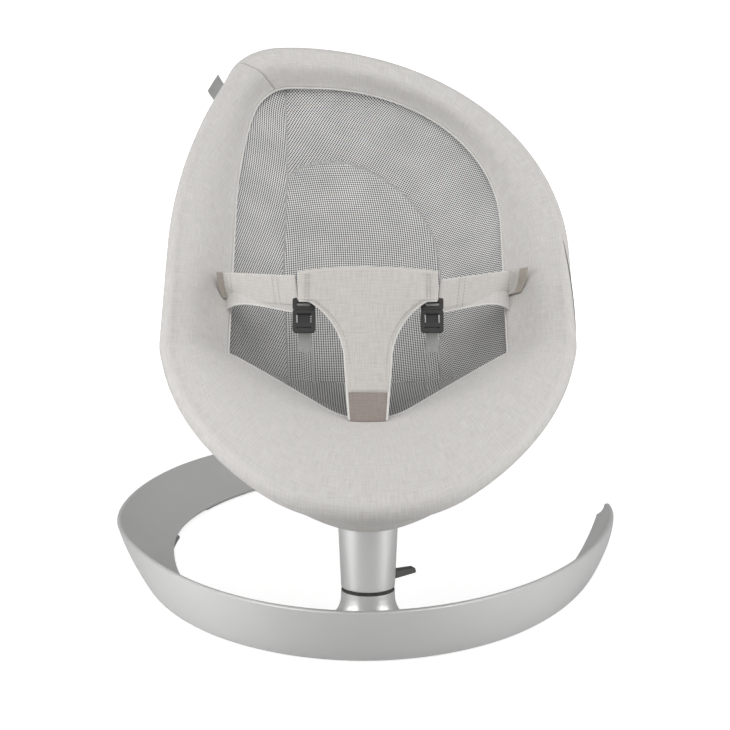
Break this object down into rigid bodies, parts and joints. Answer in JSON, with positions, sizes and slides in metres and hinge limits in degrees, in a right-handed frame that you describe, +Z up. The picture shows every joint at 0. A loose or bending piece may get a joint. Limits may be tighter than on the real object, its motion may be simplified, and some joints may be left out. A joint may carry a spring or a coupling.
{
  "type": "baby bouncer seat",
  "caption": "Leaf-shaped padded baby seat with mesh bowl and T-shaped harness, swaying and reclining on a leaning stalk over an open cast ring base.",
  "frame": {"origin": "floor, under the middle of the overall box", "axes": "+Z up, the seated baby faces -Y, +X to the right of someone facing the seat"},
  "size_m": [0.5305, 0.6154, 0.4919],
  "materials": {
    "base_casting": "fine satin metallic paint",
    "stalk_casting": "fine satin metallic paint",
    "bracket_metal": "raw casting",
    "frame_tube": "powder coat",
    "fastener_steel": "zinc plated",
    "foot_rubber": "matte",
    "seal_rubber": "matte",
    "dark_plastic": "fine grain",
    "bush_plastic": "plain",
    "buckle_plastic": "fine grain",
    "linen_cover": "woven linen",
    "mesh_fabric": "spacer mesh",
    "harness_fabric": "woven linen",
    "tag_fabric": "ribbon"
  },
  "bodies": {
    "base": {"base_ring": "base_casting", "foot_pads": "foot_rubber", "spindle": "fastener_steel", "spindle_bolt": "fastener_steel", "bolt_washer": "fastener_steel", "pivot_seal": "seal_rubber", "thrust_washer": "fastener_steel", "stop_washer": "fastener_steel", "spindle_cap_screw": "fastener_steel"},
    "stalk": {"stalk_sleeve": "stalk_casting", "lower_bush": "bush_plastic", "upper_bush": "bush_plastic", "lever_retainer": "bush_plastic", "tilt_bracket": "bracket_metal", "bracket_screws": "fastener_steel", "tilt_pin": "fastener_steel", "pin_clips": "fastener_steel"},
    "lever": {"lock_lever": "dark_plastic"},
    "brake": {"brake_pad": "seal_rubber"},
    "seat": {"seat_hub": "bracket_metal", "tilt_bushes": "bush_plastic", "front_strut": "frame_tube", "spine": "frame_tube", "back_bar": "frame_tube", "upper_hoop": "frame_tube", "lower_hoop": "frame_tube", "rim_elbow_left": "bush_plastic", "rim_elbow_right": "bush_plastic", "seat_border": "linen_cover", "seat_mesh": "mesh_fabric", "back_panel": "linen_cover", "crotch_pad": "harness_fabric", "waist_strap_left": "harness_fabric", "waist_strap_right": "harness_fabric", "hip_wing_left": "linen_cover", "hip_wing_right": "linen_cover", "buckle_clip_left": "buckle_plastic", "buckle_clip_right": "buckle_plastic", "label_tag": "tag_fabric"},
    "knob": {"recline_knob": "dark_plastic"},
    "buckle_left": {"buckle_body_left": "buckle_plastic"},
    "buckle_right": {"buckle_body_right": "buckle_plastic"}
  },
  "joints": [
    {"name": "swing", "type": "hinge", "parent": "base", "child": "stalk", "pos_m": [0, -0.2165, 0], "axis": [0, 0.1736, 0.9848], "range_deg": [-22, 22]},
    {"name": "lever_turn", "type": "hinge", "parent": "stalk", "child": "lever", "pos_m": [0, -0.2165, 0], "axis": [0, 0.1736, 0.9848], "range_deg": [0, 28]},
    {"name": "brake_slide", "type": "slide", "parent": "stalk", "child": "brake", "axis": [0.9063, 0.4162, -0.0734], "range_m": [0, 0.0012]},
    {"name": "recline", "type": "hinge", "parent": "stalk", "child": "seat", "pos_m": [0, -0.1849, 0.17924], "axis": [-1, 0, 0], "range_deg": [0, 18]},
    {"name": "knob_pull", "type": "slide", "parent": "seat", "child": "knob", "axis": [1, 0, 0], "range_m": [0, 0.005], "stiffness_N_per_m": 300},
    {"name": "buckle_left_release", "type": "slide", "parent": "seat", "child": "buckle_left", "axis": [0, -0.5175, -0.8557], "range_m": [0, 0.016]},
    {"name": "buckle_right_release", "type": "slide", "parent": "seat", "child": "buckle_right", "axis": [0, -0.5175, -0.8557], "range_m": [0, 0.016]}
  ],
  "couplings": [
    {"joint": "brake_slide", "follows": "lever_turn", "m_per_rad": 0.0024555}
  ]
}
